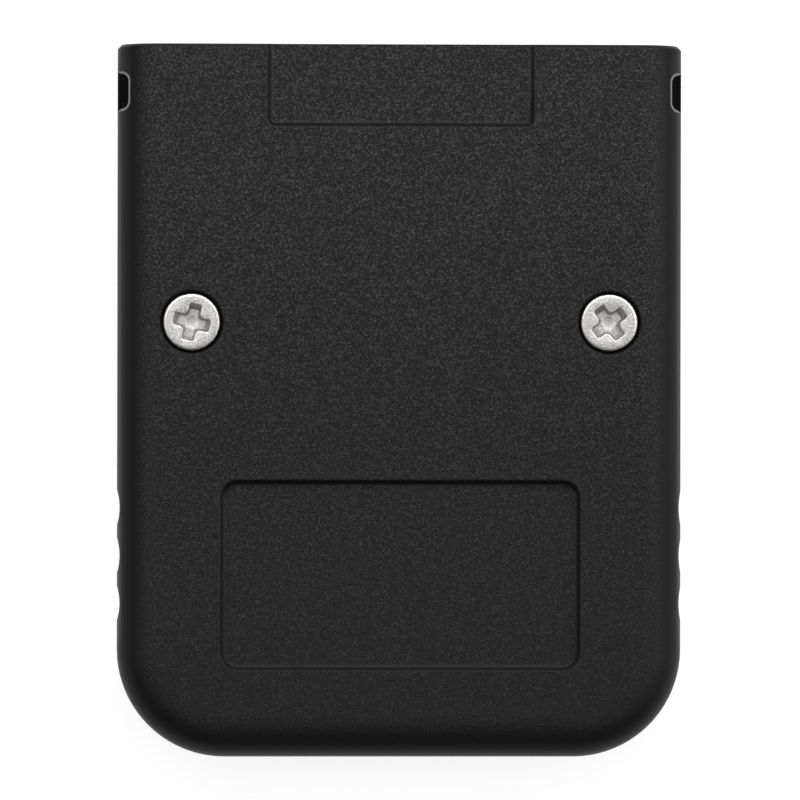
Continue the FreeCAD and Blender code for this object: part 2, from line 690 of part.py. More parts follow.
def make_socket_cover():
    """The folded sheet-metal cover over the socket, with leaf springs and soldered feet."""
    body = new_body("socket_cover")
    section = new_sketch(body, "section", "XZ_Plane", f"-{SOCKET_INNER}")
    add_polygon(section, [
        (f"-{COVER_X}", BOARD_FRONT),
        (f"-{COVER_X}", COVER_TOP),
        (COVER_X, COVER_TOP),
        (COVER_X, BOARD_FRONT),
        (SOCKET_X, BOARD_FRONT),
        (SOCKET_X, CARD_LOW),
        (f"-{SOCKET_X}", CARD_LOW),
        (f"-{SOCKET_X}", BOARD_FRONT),
    ])
    pad(body, section, "channel", "sizes.socket_depth")
    dress_edges(body, "Fillet", "folds", "sizes.cover_sheet",
                lambda edge: edge_within(edge, z=at(COVER_TOP)) and edge.BoundBox.XLength < value("sizes.seam"))
    feet = new_sketch(body, "foot_plan", offset=BOARD_FRONT)
    foot_x = (SOCKET_X, f"({COVER_X} + sizes.foot_reach)")
    add_rectangle_pair(feet, foot_x, (BOARD_LOW, f"({BOARD_LOW} + sizes.foot_length)"))
    add_rectangle_pair(feet, foot_x, (f"({SOCKET_INNER} - sizes.foot_length)", SOCKET_INNER))
    pad(body, feet, "feet", "sizes.cover_sheet", downwards=True)
    springs = new_sketch(body, "spring_plan", offset=CARD_LOW)
    spring_high = f"({SOCKET_INNER} - sizes.stop_length)"
    spring_low = f"({spring_high} - sizes.spring_length)"
    for side in ("-", ""):
        middle = f"{side}sizes.spring_offset"
        inner = "sizes.spring_width / 2"
        outer = f"({inner} + sizes.spring_slit)"
        add_polygon(springs, [
            (f"({middle} - {outer})", spring_high),
            (f"({middle} - {outer})", spring_low),
            (f"({middle} + {outer})", spring_low),
            (f"({middle} + {outer})", spring_high),
            (f"({middle} + {inner})", spring_high),
            (f"({middle} + {inner})", f"({spring_low} + sizes.spring_slit)"),
            (f"({middle} - {inner})", f"({spring_low} + sizes.spring_slit)"),
            (f"({middle} - {inner})", spring_high),
        ])
    pocket(body, springs, "springs", "sizes.cover_sheet")
    return body


def make_socket_terminal(number):
    """A spring terminal: its tail lies on the board and its crown reaches into the card space."""
    body = new_body(f"socket_terminal_{number}")
    spine = new_sketch(body, "spine", "YZ_Plane")
    tail_y = f"({SOCKET_INNER} + sizes.terminal_tail)"
    level = f"({BOARD_FRONT} - sizes.terminal_sheet / 2)"
    crown = f"({CARD_HIGH} - sizes.terminal_bite)"
    add_polygon(spine, [
        (tail_y, level),
        (TERMINAL_ROOT_Y, level),
        (TERMINAL_CROWN_Y, crown),
        (f"({TERMINAL_CROWN_Y} - sizes.terminal_crown)", crown),
        (TERMINAL_TIP_Y, f"({CARD_HIGH} + sizes.terminal_sheet / 2)"),
    ], closed=False)
    section = new_sketch(body, "section", "XZ_Plane", f"-{tail_y}")
    add_outline(section, ("-sizes.terminal_width / 2", "sizes.terminal_width / 2"),
                (f"({BOARD_FRONT} - sizes.terminal_sheet)", BOARD_FRONT))
    strip = body.newObject("PartDesign::AdditivePipe", f"{body.Label}_strip")
    strip.Profile = section
    strip.Spine = spine
    strip.Transition = "Right corner"
    steps = f"{number - 1} - (sizes.terminal_count - 1) / 2"
    body.setExpression("Placement.Base.x", f"({steps}) * sizes.terminal_pitch")
    doc.recompute()
    return body


def make_chip(label, kind, x, y):
    """A chip part with metal end caps, soldered flat on the board's front face."""
    body = new_body(label)
    half_length = f"(sizes.{kind}_length / 2)"
    half_width = f"(sizes.{kind}_width / 2)"
    core = new_sketch(body, "core_plan", offset="-sizes.cap_swell")
    add_outline(core, (f"-{half_length}", half_length),
                (f"(-{half_width} + sizes.cap_swell)", f"({half_width} - sizes.cap_swell)"))
    pad(body, core, "core", f"sizes.{kind}_height - 2 * sizes.cap_swell", downwards=True)
    caps = new_sketch(body, "cap_plan")
    cap_x = (f"({half_length} - sizes.{kind}_cap)", half_length)
    add_rectangle_pair(caps, cap_x, (f"-{half_width}", half_width))
    pad(body, caps, "caps", f"sizes.{kind}_height", downwards=True)
    body.setExpression("Placement.Base.x", x)
    body.setExpression("Placement.Base.y", y)
    body.setExpression("Placement.Base.z", BOARD_FRONT)
    doc.recompute()
    return body


def make_chips():
    """A row of resistors behind the edge connector and a capacitor on each side of the socket."""
    chips = []
    resistor_y = f"{WINDOW_LOW} - sizes.window_frame - sizes.resistor_from_window"
    for number in range(1, int(value("sizes.resistor_count")) + 1):
        steps = f"{number - 1} - (sizes.resistor_count - 1) / 2"
        x = f"({steps}) * sizes.resistor_pitch"
        chips.append(make_chip(f"resistor_{number}", "resistor", x, resistor_y))
    reach = f"({COVER_X} + sizes.capacitor_from_socket + sizes.capacitor_length / 2)"
    for number, x in enumerate((f"-{reach}", reach), start=1):
        chips.append(make_chip(f"capacitor_{number}", "capacitor", x, SOCKET_INNER))
    return chips


pieces = [
    make_front_shell(),
    make_rear_shell(),
    make_case_screws(),
    make_circuit_board(),
    make_edge_contacts(),
    make_socket_base(),
    make_socket_cover(),
]
for number in range(1, int(value("sizes.terminal_count")) + 1):
    pieces.append(make_socket_terminal(number))
pieces.extend(make_chips())

for item in doc.Objects:
    if "Invalid" in item.State or "Error" in item.State:
        raise RuntimeError(f"{item.Label} failed: {item.State}")
for piece in pieces:
    if piece.Shape.isNull() or not piece.Shape.isValid():
        raise RuntimeError(f"{piece.Label} has no valid shape")

os.makedirs("parts", exist_ok=True)
for piece in pieces:
    piece.Shape.exportStep(os.path.join("parts", f"{piece.Label}.step"))
    print(piece.Label, len(piece.Shape.Solids), round(piece.Shape.Volume, 3))
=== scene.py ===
import bpy
import math
from mathutils import Matrix, Vector


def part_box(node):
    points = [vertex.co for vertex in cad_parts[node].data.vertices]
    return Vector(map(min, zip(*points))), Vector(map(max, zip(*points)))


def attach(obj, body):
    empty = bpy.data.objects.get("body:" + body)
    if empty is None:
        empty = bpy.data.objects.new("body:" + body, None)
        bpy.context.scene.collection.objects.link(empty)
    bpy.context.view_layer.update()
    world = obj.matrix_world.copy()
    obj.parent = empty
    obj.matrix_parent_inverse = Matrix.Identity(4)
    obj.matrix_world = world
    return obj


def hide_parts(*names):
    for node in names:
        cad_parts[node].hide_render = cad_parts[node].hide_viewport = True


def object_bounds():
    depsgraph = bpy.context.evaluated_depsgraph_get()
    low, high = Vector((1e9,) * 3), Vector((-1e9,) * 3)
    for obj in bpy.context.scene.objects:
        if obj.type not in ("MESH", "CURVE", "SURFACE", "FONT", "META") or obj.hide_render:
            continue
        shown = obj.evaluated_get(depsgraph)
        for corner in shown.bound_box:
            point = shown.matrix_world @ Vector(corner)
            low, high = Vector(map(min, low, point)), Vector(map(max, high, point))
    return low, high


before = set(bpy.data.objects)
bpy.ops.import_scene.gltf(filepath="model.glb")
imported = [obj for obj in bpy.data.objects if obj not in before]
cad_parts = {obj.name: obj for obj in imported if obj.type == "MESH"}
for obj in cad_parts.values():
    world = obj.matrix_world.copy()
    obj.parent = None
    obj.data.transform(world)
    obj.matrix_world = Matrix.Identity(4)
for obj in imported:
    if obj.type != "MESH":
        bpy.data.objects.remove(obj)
cad_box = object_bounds()
MM = 0.001


# Front shell: the half of the case that lies on the table, injection moulded in black ABS, with the lip and
# spigots that the rear shell and its screws close on. Its flat faces have a spark eroded grain with pale
# specks painted in as the grain's glints (painted highlights); grain and glints fade towards the card end.
# It keeps the solid's own form, merged so that light runs round its edges.
def select_only(piece):
    bpy.ops.object.select_all(action="DESELECT")
    piece.select_set(True)
    bpy.context.view_layer.objects.active = piece


def merged_copy(node_name, piece_name, smooth_angle):
    merge_distance = 0.0005 * MM
    piece = bpy.data.objects.new(piece_name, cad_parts[node_name].data.copy())
    bpy.context.scene.collection.objects.link(piece)
    select_only(piece)
    piece.data.materials.clear()
    bpy.ops.object.mode_set(mode="EDIT")
    bpy.ops.mesh.select_mode(type="FACE")
    bpy.ops.mesh.select_all(action="SELECT")
    bpy.ops.mesh.remove_doubles(threshold=merge_distance)
    bpy.ops.mesh.customdata_custom_splitnormals_clear()
    bpy.ops.object.mode_set(mode="OBJECT")
    bpy.ops.object.shade_smooth_by_angle(angle=math.radians(smooth_angle))
    bpy.ops.object.modifier_add(type="WEIGHTED_NORMAL")
    weighting = piece.modifiers[-1]
    weighting.keep_sharp = True
    bpy.ops.object.modifier_apply(modifier=weighting.name)
    soften_steps(piece.data)
    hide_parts(node_name)
    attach(piece, "root")
    return piece


def soften_steps(mesh):
    # The low steps round the sunk fields have soft moulded edges, so light turns across them at one tilt.
    # Faces square to the case keep their own direction, and curved upright walls take a level one.
    flat_limit, steep_limit, upright_limit = 0.9999, 0.2, 0.02
    step_height, step_tilt = 0.08 * MM, math.radians(56)
    creased = {i for edge in mesh.edges if edge.use_edge_sharp for i in edge.vertices}
    flats, steps, flat_at, step_at = set(), set(), {}, {}
    for face in mesh.polygons:
        heights = [mesh.vertices[i].co.z for i in face.vertices]
        if abs(face.normal.z) < steep_limit and max(heights) - min(heights) < step_height:
            steps.add(face.index)
            for i in face.vertices:
                around = mesh.vertices[i].normal
                level = Vector((around.x, around.y, 0)).normalized() * math.sin(step_tilt)
                step_at[i] = level + Vector((0, 0, math.copysign(math.cos(step_tilt), around.z)))
        elif max(abs(part) for part in face.normal) > flat_limit:
            flats.add(face.index)
            flat_at.update((i, face.normal.copy()) for i in face.vertices)
    corners = [corner.vector.copy() for corner in mesh.corner_normals]
    for face in mesh.polygons:
        sloped = face.index in steps or steep_limit < abs(face.normal.z) < flat_limit
        for corner, i in zip(face.loop_indices, face.vertices):
            if face.index in flats:
                corners[corner] = face.normal.copy()
            elif i in flat_at and i not in creased:
                corners[corner] = flat_at[i]
            elif i in step_at and sloped:
                corners[corner] = step_at[i]
            elif abs(face.normal.z) < upright_limit:
                corners[corner] = Vector((corners[corner].x, corners[corner].y, 0)).normalized()
    mesh.normals_split_custom_set(corners)


def new_material(name, metallic=0.0, reflectance=0.5):
    material = bpy.data.materials.new(name)
    material.use_nodes = True
    nodes = material.node_tree.nodes
    shader = nodes["Principled BSDF"]
    shader.inputs["Metallic"].default_value = metallic
    shader.inputs["Specular IOR Level"].default_value = reflectance
    return material, nodes, material.node_tree.links, shader


def add_noise(nodes, links, size, detail, roughness):
    place = nodes.new("ShaderNodeTexCoord")
    noise = nodes.new("ShaderNodeTexNoise")
    noise.inputs["Scale"].default_value = 1 / size
    noise.inputs["Detail"].default_value = detail
    noise.inputs["Roughness"].default_value = roughness
    links.new(place.outputs["Object"], noise.inputs["Vector"])
    return noise.outputs["Fac"]


def add_flatness(nodes, links, limits):
    place = nodes.new("ShaderNodeTexCoord")
    parts = nodes.new("ShaderNodeSeparateXYZ")
    links.new(place.outputs["Normal"], parts.inputs["Vector"])
    upright = add_math(nodes, links, "ABSOLUTE", parts.outputs["Z"])
    return add_range(nodes, links, upright, limits, (0, 1))


def add_math(nodes, links, operation, *sources):
    result = nodes.new("ShaderNodeMath")
    result.operation = operation
    for socket, source in zip(result.inputs, sources):
        if isinstance(source, (int, float)):
            socket.default_value = source
        else:
            links.new(source, socket)
    return result.outputs["Value"]


def add_range(nodes, links, source, limits, wanted):
    spread = nodes.new("ShaderNodeMapRange")
    spread.inputs["From Min"].default_value, spread.inputs["From Max"].default_value = limits
    spread.inputs["To Min"].default_value, spread.inputs["To Max"].default_value = wanted
    links.new(source, spread.inputs["Value"])
    return spread.outputs["Result"]


def add_colours(nodes, links, factor, first, second):
    blend = nodes.new("ShaderNodeMix")
    blend.data_type = "RGBA"
    blend.inputs["A"].default_value = (*first, 1)
    blend.inputs["B"].default_value = (*second, 1)
    links.new(factor, blend.inputs["Factor"])
    return blend.outputs["Result"]


def add_bump(nodes, links, shader, height, depth, strength=None):
    bump = nodes.new("ShaderNodeBump")
    bump.inputs["Strength"].default_value = 1.0
    bump.inputs["Distance"].default_value = depth
    links.new(height, bump.inputs["Height"])
    if strength:
        links.new(strength, bump.inputs["Strength"])
    links.new(bump.outputs["Normal"], shader.inputs["Normal"])


grain_size, speck_size, grain_depth = 0.225 * MM, 0.15 * MM, 0.06 * MM
# The grain and its painted glints fade along the case, weakest at the card end.
faint_grain_y, full_grain_y, faint_grain_share = -26 * MM, 18 * MM, 0.3
edge_roughness, face_change = 0.42, (-0.13, -0.01)
speck_share, haze_share = 0.72, 0.074
noise_span, speck_span, flat_slopes = (0.3, 0.7), (0.48, 0.74), (0.78, 0.99)
# The paler grey is the grained faces' haze and the painted glints of the grain.
black_abs, glint_and_haze_grey = (0.0080, 0.0080, 0.0086), (0.0760, 0.0760, 0.0790)
moulding_angle = 50
grained_abs, nodes, links, shader = new_material("grained_black_abs", reflectance=0.07)
grain = add_noise(nodes, links, grain_size, 3.0, 0.6)
flatness = add_flatness(nodes, links, flat_slopes)
place = nodes.new("ShaderNodeTexCoord")
sides = nodes.new("ShaderNodeSeparateXYZ")
links.new(place.outputs["Object"], sides.inputs["Vector"])
grain_fade = add_range(nodes, links, sides.outputs["Y"], (faint_grain_y, full_grain_y), (faint_grain_share, 1))
texture = add_math(nodes, links, "MULTIPLY", flatness, grain_fade)
face_gloss = add_range(nodes, links, grain, noise_span, face_change)
gloss = add_math(nodes, links, "MULTIPLY_ADD", face_gloss, flatness, edge_roughness)
links.new(gloss, shader.inputs["Roughness"])
# Pale specks painted into the colour stand in for the grain's glints: painted highlights.
painted_glints = add_noise(nodes, links, speck_size, 2.0, 0.7)
painted_glints = add_range(nodes, links, painted_glints, speck_span, (0, speck_share))
haze = add_math(nodes, links, "MULTIPLY", flatness, haze_share)
glints_and_haze = add_math(nodes, links, "MULTIPLY_ADD", painted_glints, texture, haze)
links.new(add_colours(nodes, links, glints_and_haze, black_abs, glint_and_haze_grey), shader.inputs["Base Color"])
add_bump(nodes, links, shader, grain, grain_depth, texture)

front_shell = merged_copy("front_shell", "front_shell_moulding", moulding_angle)
front_shell.data.materials.append(grained_abs)


# Circuit board: a 1 mm glass-fibre laminate with a green solder mask on both faces, routed to shape and laid
# on the front shell's posts, with its bare pale edges showing at the tongue.
def add_weave(nodes, links, pitch):
    unscaled_pitch, waviness = math.pi / 10, 0.6
    place = nodes.new("ShaderNodeTexCoord")
    threads = []
    for direction in ("X", "Y"):
        wave = nodes.new("ShaderNodeTexWave")
        wave.bands_direction = direction
        wave.inputs["Scale"].default_value = unscaled_pitch / pitch
        wave.inputs["Distortion"].default_value = waviness
        links.new(place.outputs["Object"], wave.inputs["Vector"])
        threads.append(wave.outputs["Fac"])
    return add_math(nodes, links, "MULTIPLY", *threads)


def coat_node(node_name, material):
    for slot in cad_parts[node_name].material_slots:
        slot.material = material


weave_pitch, weave_depth = 0.45 * MM, 0.01 * MM
deep_green, light_green = (0.010, 0.090, 0.040), (0.016, 0.125, 0.055)
bare_laminate, mask_slopes, mask_gloss = (0.42, 0.40, 0.22), (0.6, 0.8), (0.30, 0.42)
board_mask, nodes, links, shader = new_material("green_solder_mask")
weave = add_weave(nodes, links, weave_pitch)
edge_blend = nodes.new("ShaderNodeMix")
edge_blend.data_type = "RGBA"
edge_blend.inputs["A"].default_value = (*bare_laminate, 1)
links.new(add_colours(nodes, links, weave, deep_green, light_green), edge_blend.inputs["B"])
links.new(add_flatness(nodes, links, mask_slopes), edge_blend.inputs["Factor"])
links.new(edge_blend.outputs["Result"], shader.inputs["Base Color"])
links.new(add_range(nodes, links, weave, (0, 1), mask_gloss), shader.inputs["Roughness"])
add_bump(nodes, links, shader, weave, weave_depth)
coat_node("circuit_board", board_mask)


# Edge contacts: twelve hard gold plated pads on the tongue, which the console's springs slide along, so
# fine scratches run from the tip inwards.
def add_streaks(nodes, links, width, length, axis):
    place = nodes.new("ShaderNodeTexCoord")
    stretch = nodes.new("ShaderNodeMapping")
    scale = [1 / width] * 3
    scale["XYZ".index(axis)] = 1 / length
    stretch.inputs["Scale"].default_value = scale
    links.new(place.outputs["Object"], stretch.inputs["Vector"])
    noise = nodes.new("ShaderNodeTexNoise")
    noise.inputs["Scale"].default_value = 1.0
    noise.inputs["Detail"].default_value = 2.0
    links.new(stretch.outputs["Vector"], noise.inputs["Vector"])
    return noise.outputs["Fac"]


def add_finish(nodes, links, shader, pattern, shades, gloss, depth):
    links.new(add_colours(nodes, links, pattern, *shades), shader.inputs["Base Color"])
    links.new(add_range(nodes, links, pattern, noise_span, gloss), shader.inputs["Roughness"])
    add_bump(nodes, links, shader, pattern, depth)


scratch_width, scratch_length, scratch_depth = 0.05 * MM, 2.0 * MM, 0.002 * MM
gold_shades, gold_gloss = ((0.80, 0.56, 0.20), (0.88, 0.66, 0.29)), (0.18, 0.36)
hard_gold, nodes, links, shader = new_material("hard_gold_plate", metallic=1.0)
scratches = add_streaks(nodes, links, scratch_width, scratch_length, "Y")
add_finish(nodes, links, shader, scratches, gold_shades, gold_gloss, scratch_depth)
coat_node("edge_contacts", hard_gold)

# Socket base: the card socket's channel, moulded in glass filled black polymer and held on the board by the
# cover folded over it, with short pale fibres showing in its skin.
fibre_width, fibre_length, fibre_depth = 0.04 * MM, 0.5 * MM, 0.004 * MM
polymer_shades, polymer_gloss = ((0.010, 0.010, 0.011), (0.030, 0.030, 0.031)), (0.42, 0.6)
fibre_polymer, nodes, links, shader = new_material("fibre_filled_polymer")
fibres = add_streaks(nodes, links, fibre_width, fibre_length, "Y")
add_finish(nodes, links, shader, fibres, polymer_shades, polymer_gloss, fibre_depth)
coat_node("socket_base", fibre_polymer)

# Terminals: eight springs stamped from phosphor bronze strip and flashed with gold, set in the base's slits
# with their tails on the board and their crowns in the card's way.
strip_width, strip_length, strip_depth = 0.03 * MM, 1.2 * MM, 0.002 * MM
bronze_shades, bronze_gloss = ((0.66, 0.40, 0.19), (0.82, 0.58, 0.26)), (0.22, 0.4)
flashed_bronze, nodes, links, shader = new_material("gold_flashed_bronze", metallic=1.0)
rolled = add_streaks(nodes, links, strip_width, strip_length, "Y")
add_finish(nodes, links, shader, rolled, bronze_shades, bronze_gloss, strip_depth)
for name in [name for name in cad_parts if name.startswith("socket_terminal_")]:
    coat_node(name, flashed_bronze)

# Socket cover: tinned sheet steel, stamped, folded over the base and soldered by its feet, with the fine
# lines of rolled strip across it.
line_width, line_length, line_depth = 0.03 * MM, 4.0 * MM, 0.002 * MM
sheet_shades, sheet_gloss = ((0.48, 0.48, 0.49), (0.64, 0.64, 0.64)), (0.26, 0.42)
tinned_sheet, nodes, links, shader = new_material("rolled_tinned_sheet", metallic=1.0)
rolled = add_streaks(nodes, links, line_width, line_length, "X")
add_finish(nodes, links, shader, rolled, sheet_shades, sheet_gloss, line_depth)
coat_node("socket_cover", tinned_sheet)

# Chips: four resistors behind the edge connector and two capacitors beside the socket, fired ceramic bodies
# with tinned end caps, soldered flat on the board.
solder_size, solder_depth = 0.15 * MM, 0.01 * MM
solder_shades, solder_gloss = ((0.58, 0.58, 0.57), (0.76, 0.76, 0.74)), (0.28, 0.48)
tinned, nodes, links, shader = new_material("tinned_caps", metallic=1.0)
solder = add_noise(nodes, links, solder_size, 2.0, 0.5)
add_finish(nodes, links, shader, solder, solder_shades, solder_gloss, solder_depth)


def fired_body(name, shades):
    speckle_size, speckle_depth, fired_gloss = 0.08 * MM, 0.006 * MM, (0.35, 0.55)
    ceramic, nodes, links, shader = new_material(name)
    speckles = add_noise(nodes, links, speckle_size, 2.0, 0.6)
    add_finish(nodes, links, shader, speckles, shades, fired_gloss, speckle_depth)
    return ceramic


def capped_chip(node_name, body_material, cap_length):
    chip_angle, body_share = 30, 0.99
    chip = merged_copy(node_name, f"{node_name}_capped", chip_angle)
    chip.data.materials.append(body_material)
    chip.data.materials.append(tinned)
    low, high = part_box(node_name)
    body_reach = (high.x - low.x) / 2 - cap_length
    for face in chip.data.polygons:
        in_body = abs(face.center.x - (low.x + high.x) / 2) < body_reach * body_share
        face.material_index = 0 if in_body else 1


resistor_cap, capacitor_cap = 0.3 * MM, 0.45 * MM
resistor_glaze = fired_body("resistor_glaze", ((0.010, 0.010, 0.011), (0.022, 0.022, 0.024)))
capacitor_body = fired_body("capacitor_ceramic", ((0.26, 0.17, 0.10), (0.36, 0.25, 0.15)))
for name in [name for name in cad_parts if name.startswith("resistor_")]:
    capped_chip(name, resistor_glaze, resistor_cap)
for name in [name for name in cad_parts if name.startswith("capacitor_")]:
    capped_chip(name, capacitor_body, capacitor_cap)

# Rear shell: the half with the sunk label field, the screw wells and the rounded back edge, moulded in the
# same grained black ABS. It drops over the front shell's lip and is held by the two screws. Its latch notches
# are cut by polished slides in the mould, so they are smooth inside; their insides are painted near black as
# painted shade of the deep notch, and their chamfered rim is painted pale as a painted highlight.
# The near-black colour inside the notches is painted shade.
flow_size, flow_depth = 1.2 * MM, 0.003 * MM
painted_notch_shade, polish_gloss = ((0.0010, 0.0010, 0.0012), (0.0018, 0.0018, 0.0020)), (0.10, 0.16)
notch_shade_abs, nodes, links, shader = new_material("painted_shade_notch_abs", reflectance=0.05)
flow_marks = add_noise(nodes, links, flow_size, 2.0, 0.5)
add_finish(nodes, links, shader, flow_marks, painted_notch_shade, polish_gloss, flow_depth)

# The pale rim colour is a painted highlight on the notch chamfer.
rim_mottle_size, rim_mottle_depth = 0.3 * MM, 0.01 * MM
painted_rim_highlight, rim_highlight_gloss = ((0.06, 0.06, 0.062), (0.17, 0.17, 0.172)), (0.25, 0.4)
rim_highlight_abs, nodes, links, shader = new_material("painted_highlight_notch_rim", reflectance=0.4)
rim_mottle = add_noise(nodes, links, rim_mottle_size, 2.0, 0.6)
add_finish(nodes, links, shader, rim_mottle, painted_rim_highlight, rim_highlight_gloss, rim_mottle_depth)

rear_shell = merged_copy("rear_shell", "rear_shell_moulding", moulding_angle)
rear_shell.data.materials.append(grained_abs)
rear_shell.data.materials.append(notch_shade_abs)
rear_shell.data.materials.append(rim_highlight_abs)
notch_depth, notch_length, notch_from_mouth = 0.8 * MM, 2.5 * MM, 2.2 * MM
notch_floor, notch_rim = 5.25 * MM, 0.2 * MM
slack, wall_slope, floor_slope = 0.02 * MM, 0.01, 0.999
shell_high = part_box("rear_shell")[1]
notch_inside = shell_high.x - notch_depth - notch_rim - slack
notch_high = shell_high.y - notch_from_mouth + notch_rim + slack
notch_low = shell_high.y - notch_from_mouth - notch_length - notch_rim - slack
# Square faces inside the notches take the painted shade, and the chamfered rim takes the painted highlight.
for face in rear_shell.data.polygons:
    points = [rear_shell.data.vertices[i].co for i in face.vertices]
    if all(abs(point.x) > notch_inside and notch_low < point.y < notch_high
           and point.z > notch_floor - slack for point in points):
        square = abs(face.normal.z) < wall_slope or face.normal.z > floor_slope
        face.material_index = 1 if square else 2


# Case screws: two nickel plated self-tapping screws, cold headed with a rounded rim and a cross recess,
# driven from the rear into the spigots of the front shell, where their rolled thread bites.
def select_parts(piece, kind, parts, wanted):
    select_only(piece)
    bpy.ops.object.mode_set(mode="EDIT")
    bpy.ops.mesh.select_mode(type=kind)
    bpy.ops.mesh.select_all(action="DESELECT")
    bpy.ops.object.mode_set(mode="OBJECT")
    for part in parts:
        part.select = wanted(part)
    bpy.ops.object.mode_set(mode="EDIT")


def combine(piece, tool, operation):
    select_only(piece)
    bpy.ops.object.modifier_add(type="BOOLEAN")
    joining = piece.modifiers[-1]
    joining.operation = operation
    joining.solver = "EXACT"
    joining.object = tool
    bpy.ops.object.modifier_apply(modifier=joining.name)
    select_only(tool)
    bpy.ops.object.delete()
    select_only(piece)


screw_low, screw_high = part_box("case_screws")
head_radius, seat_radius, head_height, rim_round = 2.1 * MM, 2.05 * MM, 1.45 * MM, 0.2 * MM
rim_width, step_width, face_drop = 0.12 * MM, 0.06 * MM, 0.035 * MM
drive_span, drive_depth, drive_taper, drive_proud = 2.85 * MM, 1.0 * MM, 0.68, 0.1 * MM
inner_corner, outer_corner, recess_edge = 0.42 * MM, 0.16 * MM, 0.06 * MM
point_radius, point_depth = 0.5 * MM, 0.24 * MM
core_radius, core_bury, tip_round = 0.95 * MM, 0.2 * MM, 0.15 * MM
thread_radius, thread_pitch, thread_turns, thread_start = 1.25 * MM, 0.9 * MM, 4, 0.4 * MM
ridge_share = 0.9
ridge_radius = (thread_radius - core_radius) * ridge_share
head_sides, core_sides, turn_steps, crease_angle = 96, 48, 24, 35
left_turn, right_turn = -14, -53
head_top = screw_high.z
head_seat = head_top - head_height

bpy.ops.object.select_all(action="DESELECT")
bpy.ops.mesh.primitive_cylinder_add(vertices=head_sides, radius=head_radius, depth=head_height,
                                    location=(0, 0, head_top - head_height / 2))
screw = bpy.context.object
bpy.ops.object.transform_apply(location=True, rotation=True, scale=True)
places = screw.data.vertices
select_parts(screw, "EDGE", screw.data.edges,
             lambda edge: all(places[i].co.z > head_top - slack for i in edge.vertices))
bpy.ops.mesh.bevel(offset=rim_round, segments=5, affect="EDGES")
bpy.ops.object.mode_set(mode="OBJECT")
select_parts(screw, "FACE", screw.data.polygons, lambda face: face.center.z > head_top - slack)
bpy.ops.mesh.inset(thickness=rim_width)
bpy.ops.mesh.inset(thickness=step_width)
bpy.ops.transform.translate(value=(0, 0, -face_drop))
bpy.ops.object.mode_set(mode="OBJECT")

bpy.ops.object.select_all(action="DESELECT")
bpy.ops.mesh.primitive_grid_add(x_subdivisions=3, y_subdivisions=3, size=drive_span,
                                location=(0, 0, head_top + drive_proud))
drive = bpy.context.object
bpy.ops.object.transform_apply(location=True, rotation=True, scale=True)
arm_half = drive_span / 6
select_parts(drive, "FACE", drive.data.polygons,
             lambda face: min(abs(face.center.x), abs(face.center.y)) > arm_half)
bpy.ops.mesh.delete(type="FACE")
bpy.ops.mesh.select_all(action="SELECT")
bpy.ops.mesh.dissolve_faces()
bpy.ops.object.mode_set(mode="OBJECT")
select_parts(drive, "VERT", drive.data.vertices,
             lambda corner: max(abs(corner.co.x), abs(corner.co.y)) < arm_half + slack)
bpy.ops.mesh.bevel(offset=inner_corner, segments=6, affect="VERTICES")
bpy.ops.object.mode_set(mode="OBJECT")
select_parts(drive, "VERT", drive.data.vertices,
             lambda corner: max(abs(corner.co.x), abs(corner.co.y)) > drive_span / 2 - slack)
bpy.ops.mesh.bevel(offset=outer_corner, segments=3, affect="VERTICES")
bpy.ops.mesh.select_mode(type="FACE")
bpy.ops.mesh.select_all(action="SELECT")
bpy.ops.mesh.extrude_region_move(TRANSFORM_OT_translate={"value": (0, 0, -drive_depth - drive_proud)})
bpy.ops.transform.resize(value=(drive_taper, drive_taper, 1), center_override=(0, 0, head_top))
bpy.ops.mesh.select_all(action="SELECT")
bpy.ops.mesh.normals_make_consistent(inside=False)
bpy.ops.object.mode_set(mode="OBJECT")
combine(screw, drive, "DIFFERENCE")

bpy.ops.object.select_all(action="DESELECT")
bpy.ops.mesh.primitive_cone_add(vertices=core_sides, radius1=0, radius2=point_radius, depth=point_depth,
                                location=(0, 0, head_top - drive_depth - point_depth / 2 + slack))
point = bpy.context.object
bpy.ops.object.transform_apply(location=True, rotation=True, scale=True)
combine(screw, point, "DIFFERENCE")

places = screw.data.vertices
recess_reach = drive_span / 2 + slack
select_parts(screw, "EDGE", screw.data.edges,
             lambda edge: all(places[i].co.z > head_top - face_drop - slack
                              and places[i].co.to_2d().length < recess_reach for i in edge.vertices))
bpy.ops.mesh.bevel(offset=recess_edge, segments=3, affect="EDGES")
bpy.ops.object.mode_set(mode="OBJECT")

bpy.ops.object.select_all(action="DESELECT")
shank_low, shank_high = screw_low.z, head_seat + core_bury
bpy.ops.mesh.primitive_cylinder_add(vertices=core_sides, radius=core_radius, depth=shank_high - shank_low,
                                    location=(0, 0, (shank_low + shank_high) / 2))
shank = bpy.context.object
bpy.ops.object.transform_apply(location=True, rotation=True, scale=True)
places = shank.data.vertices
select_parts(shank, "EDGE", shank.data.edges,
             lambda edge: all(places[i].co.z < shank_low + slack for i in edge.vertices))
bpy.ops.mesh.bevel(offset=tip_round, segments=2, affect="EDGES")
bpy.ops.object.mode_set(mode="OBJECT")

bpy.ops.object.select_all(action="DESELECT")
bpy.ops.mesh.primitive_circle_add(vertices=3, radius=ridge_radius, fill_type="NOTHING",
                                  location=(thread_radius - ridge_radius, 0, shank_low + thread_start),
                                  rotation=(math.radians(90), math.radians(90), 0))
thread = bpy.context.object
bpy.ops.object.transform_apply(location=True, rotation=True, scale=True)
bpy.ops.object.modifier_add(type="SCREW")
turning = thread.modifiers[-1]
turning.axis = "Z"
turning.screw_offset = thread_pitch
turning.iterations = thread_turns
turning.steps = turning.render_steps = turn_steps
bpy.ops.object.modifier_apply(modifier=turning.name)
bpy.ops.object.mode_set(mode="EDIT")
bpy.ops.mesh.select_all(action="SELECT")
bpy.ops.mesh.fill_holes(sides=3)
bpy.ops.mesh.normals_make_consistent(inside=False)
bpy.ops.object.mode_set(mode="OBJECT")
combine(shank, thread, "UNION")
combine(screw, shank, "UNION")
bpy.ops.object.shade_smooth_by_angle(angle=math.radians(crease_angle))


